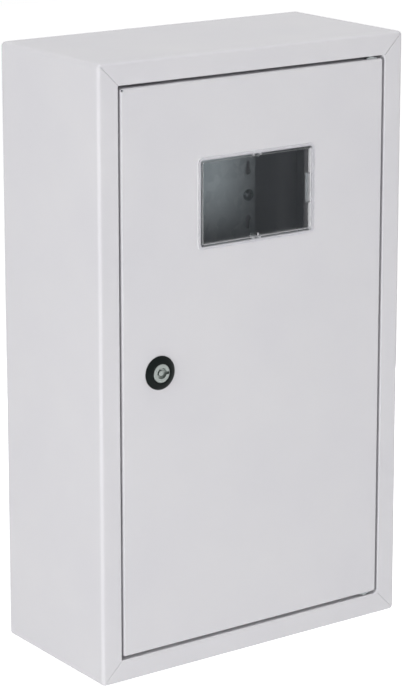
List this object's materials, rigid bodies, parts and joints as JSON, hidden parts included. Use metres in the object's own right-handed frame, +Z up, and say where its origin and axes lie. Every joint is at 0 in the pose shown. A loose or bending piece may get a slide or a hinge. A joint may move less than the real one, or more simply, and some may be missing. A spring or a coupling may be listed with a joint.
{
  "type": "steel wall enclosure",
  "caption": "Sheet-steel wall cabinet for a meter and rail devices: hinged flush door with a snap-in window, a quarter-turn lock, a meter plate, a device rail and terminal bars inside.",
  "frame": {"origin": "centre of the four wall holes, on the wall side of the back panel", "axes": "+Z up, +Y into the wall, +X to the right of someone facing the door"},
  "size_m": [0.31, 0.1482, 0.522],
  "materials": {
    "cabinet_paint": "fine-texture light-grey powder coat, satin",
    "door_paint": "fine-texture light-grey powder coat, satin",
    "clear_window": "clear moulded polycarbonate, polished",
    "black_lock": "black moulded polyamide, satin",
    "nickel_plug": "nickel-plated zinc die casting, satin",
    "zinc_steel": "bright zinc-plated steel",
    "galvanised_plate": "galvanised sheet steel, dull",
    "copper_stud": "copper-flashed weld stud",
    "bar_brass": "drawn brass, lightly tarnished",
    "terminal_steel": "zinc-plated steel",
    "blue_holder": "blue moulded polyamide",
    "green_holder": "green moulded polyamide",
    "grommet_rubber": "dark grey moulded rubber, matt"
  },
  "bodies": {
    "cabinet": {"body_left_side": "cabinet_paint", "body_right_side": "cabinet_paint", "body_top": "cabinet_paint", "body_bottom": "cabinet_paint", "back_panel": "cabinet_paint", "upper_hinge_bracket": "cabinet_paint", "lower_hinge_bracket": "cabinet_paint", "upper_hinge_pin": "zinc_steel", "lower_hinge_pin": "zinc_steel", "meter_plate_screws": "zinc_steel", "din_rail": "zinc_steel", "din_rail_screws": "zinc_steel", "bar_holder_screws": "zinc_steel", "body_earth_nut": "zinc_steel", "meter_plate": "galvanised_plate", "lower_left_plate_bracket": "galvanised_plate", "lower_right_plate_bracket": "galvanised_plate", "upper_left_plate_bracket": "galvanised_plate", "upper_right_plate_bracket": "galvanised_plate", "left_rail_bracket": "galvanised_plate", "right_rail_bracket": "galvanised_plate", "body_earth_stud": "copper_stud", "neutral_bar": "bar_brass", "earth_bar": "bar_brass", "neutral_bar_screws": "terminal_steel", "earth_bar_screws": "terminal_steel", "neutral_bar_holders": "blue_holder", "earth_bar_holders": "green_holder", "left_cable_grommet": "grommet_rubber", "middle_cable_grommet": "grommet_rubber", "right_cable_grommet": "grommet_rubber"},
    "door": {"door_leaf": "door_paint", "window_insert": "clear_window", "hinge_washers": "zinc_steel", "lock_housing": "black_lock", "lock_nut": "zinc_steel", "upper_hinge_plate": "zinc_steel", "lower_hinge_plate": "zinc_steel", "door_earth_stud": "copper_stud", "door_earth_nut": "zinc_steel"},
    "lock": {"lock_plug": "nickel_plug", "lock_cam": "zinc_steel", "cam_screw": "zinc_steel"}
  },
  "joints": [
    {"name": "door_hinge", "type": "hinge", "parent": "cabinet", "child": "door", "pos_m": [0.1233, -0.14, 0], "axis": [0, 0, 1], "range_deg": [0, 130]},
    {"name": "lock_turn", "type": "hinge", "parent": "door", "child": "lock", "pos_m": [-0.097, -0.14, 0], "axis": [0, 1, 0], "range_deg": [0, 90]}
  ]
}
